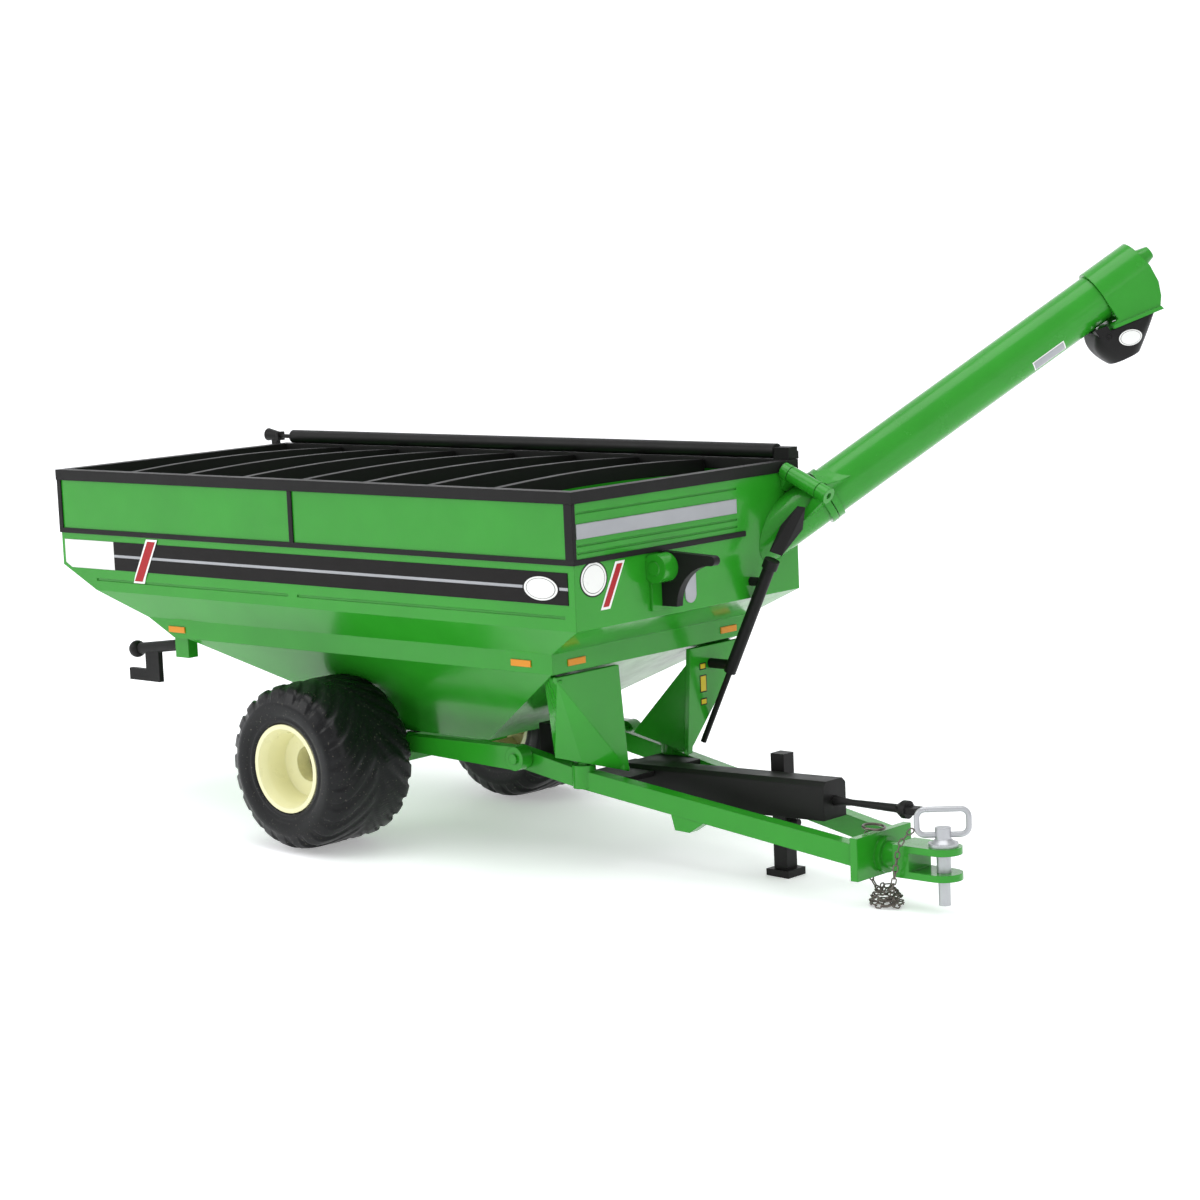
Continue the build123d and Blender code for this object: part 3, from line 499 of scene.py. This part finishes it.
def badge(name, body, centre, axes, on, w, h, lift=0.0):
    """Blank oval badge: dark rim, white field, thin dark line."""
    parts = ((1.0, INK, "black_trim", 0.03), (0.92, WHITE, "white_print", 0.05),
             (0.80, INK, "black_trim", 0.07), (0.77, WHITE, "white_print", 0.09))
    for i, (k, look, slot, up) in enumerate(parts):
        decal(f"{name}_{i + 1}", body, ellipse(w * k, h * k), centre, *axes, on, look, slot,
              lift=up + lift)


def flash(name, body, centre, axes, on, w, h, lift=0.0):
    """Plain slanted bar in red with a white edge."""
    decal(f"{name}_edge", body, slab(w + 0.9, h + 0.8, h * 0.30), centre, *axes, on, WHITE,
          "white_print", lift=0.05 + lift)
    decal(f"{name}_bar", body, slab(w, h, h * 0.28), centre, *axes, on, RED, "amber_lens",
          lift=0.08 + lift)


badge("side_badge_right", "cart", (121.6, -28.7, 48.5), SIDE, "hopper_shell", 8.0, 4.2, 0.12)
badge("side_badge_left", "cart", (121.6, 28.7, 48.5), LEFT, "hopper_shell", 8.0, 4.2, 0.12)
flash("side_flash_right", "cart", (23.8, -28.7, 48.0), SIDE, "hopper_shell", 2.2, 7.4, 0.14)
flash("side_flash_left", "cart", (23.8, 28.7, 48.0), LEFT, "hopper_shell", 2.2, 7.4, 0.14)
badge("front_badge", "cart", (128.9, -24.1, 49.8), FRONT, "hopper_shell", 6.6, 5.8)
flash("front_flash", "cart", (128.9, -19.6, 48.3), FRONT, "hopper_shell", 1.4, 6.6)

# the auger's own directions: along the tube, sideways to the right, and square to both
TUBE_FOOT = Vector((128.85, 24.86, 53.31))
TUBE_RUN = Vector((0.539, 0.647, 0.540)).normalized()
TUBE_SIDE = Vector((TUBE_RUN.y, -TUBE_RUN.x, 0.0)).normalized()
TUBE_BACK = TUBE_SIDE.cross(TUBE_RUN)
TUBE_R = 4.25
HEAD_AT = 66.5            # along the tube
SPOUT_FACE = TUBE_FOOT + TUBE_RUN * (HEAD_AT + 0.2) - TUBE_BACK * 8.3 + TUBE_SIDE * 4.2
badge("spout_badge", "spout", SPOUT_FACE,
      (TUBE_RUN * 0.888 - TUBE_BACK * 0.46, TUBE_RUN * 0.46 + TUBE_BACK * 0.888),
      "discharge_spout", 4.6, 3.0)
LABEL_AT = 53.5           # along the tube
for which in (1, -1):
    slope = math.radians(42)
    place = TUBE_FOOT + TUBE_RUN * LABEL_AT
    place += (TUBE_SIDE * math.cos(slope) * which - TUBE_BACK * math.sin(slope)) * TUBE_R
    axes = (TUBE_RUN * which,
            TUBE_BACK * math.cos(slope) + TUBE_SIDE * math.sin(slope) * which)
    word = "right" if which > 0 else "left"
    decal(f"tube_label_{word}_edge", "auger", slab(6.6, 2.2), place, *axes,
          "upper_auger_tube", WHITE, "white_print", lift=0.03)
    decal(f"tube_label_{word}", "auger", slab(6.2, 1.8), place, *axes,
          "upper_auger_tube", LOOKS["silver_print"], "silver_print", lift=0.06)
for i, (y, z, w, h) in enumerate(((12.3, 29.9, 1.3, 0.8), (12.3, 26.9, 1.4, 2.6),
                                  (12.3, 23.8, 1.3, 0.8))):
    decal(f"warning_rim_{i + 1}", "cart", slab(w + 0.4, h + 0.4), (120.2, y, z), *FRONT,
          "front_leg_left", INK, "black_trim", lift=0.03)
    decal(f"warning_{i + 1}", "cart", slab(w, h), (120.2, y, z), *FRONT, "front_leg_left",
          YELLOW, "amber_lens", lift=0.06)

# ----------------------------------------------------------------- stage ----

def floor():
    """Pale sweep: flat under the cart, curving up far behind it."""
    verts, faces = [], []
    rows = [(-1.6, 0.0), (1.2, 0.0)]
    rows += [(1.2 + 0.8 * math.sin(math.radians(a)), 0.8 - 0.8 * math.cos(math.radians(a)))
             for a in range(10, 91, 10)]
    rows += [(2.0, 3.0)]
    turn_z = Matrix.Rotation(math.radians(41.8), 4, "Z")
    for y, z in rows:
        for x in (-4.0, 4.0):
            verts.append(turn_z @ Vector((x, y, z)))
    for i in range(len(rows) - 1):
        faces.append((2 * i, 2 * i + 1, 2 * i + 3, 2 * i + 2))
    mat = finish_material("pale_sweep", (0.91, 0.92, 0.94), 0.6, vary=0.01, peel=0.0,
                          edge=0.0, specular=0.2, glow=0.32)
    obj = mesh_object("studio_sweep", verts, faces, mat)


def softbox(name, place, aim, size, power):
    data = bpy.data.lights.new(name, "AREA")
    data.shape = "RECTANGLE"
    data.size, data.size_y = size
    data.energy = power
    obj = bpy.data.objects.new(name, data)
    obj.location = place
    obj.rotation_euler = (Vector(aim) - Vector(place)).to_track_quat("-Z", "Y").to_euler()
    bpy.context.scene.collection.objects.link(obj)


floor()
scene = bpy.context.scene
scene.view_settings.view_transform = "Standard"
world = bpy.data.worlds.new("studio")
world.use_nodes = True
world.node_tree.nodes["Background"].inputs["Color"].default_value = (1.0, 1.0, 1.0, 1.0)
world.node_tree.nodes["Background"].inputs["Strength"].default_value = 0.75
scene.world = world
softbox("top_box", (0.05, -0.10, 0.75), (0, 0, 0.03), (0.7, 0.5), 2.7)
softbox("left_box", (-0.45, -0.60, 0.42), (0, 0, 0.03), (0.5, 0.5), 1.9)
softbox("right_box", (0.75, -0.15, 0.35), (0.05, 0, 0.04), (0.35, 0.5), 0.6)

camera = bpy.data.objects.new("camera", bpy.data.cameras.new("camera"))
camera.data.sensor_width = 36.0
camera.data.lens = 89.36
camera.data.clip_start = 0.01
camera.data.clip_end = 20.0
# the camera's directions: rows of its rotation matrix, fitted to the photo
CAM = ((0.746947, -0.086345, 0.659253), (0.664587, 0.126549, -0.736417),
       (-0.019842, 0.988195, 0.151909))
pose = Matrix(CAM).to_4x4()
pose.translation = Vector((0.352691, -0.393935, 0.120217))
camera.matrix_world = pose
scene.collection.objects.link(camera)
scene.camera = camera
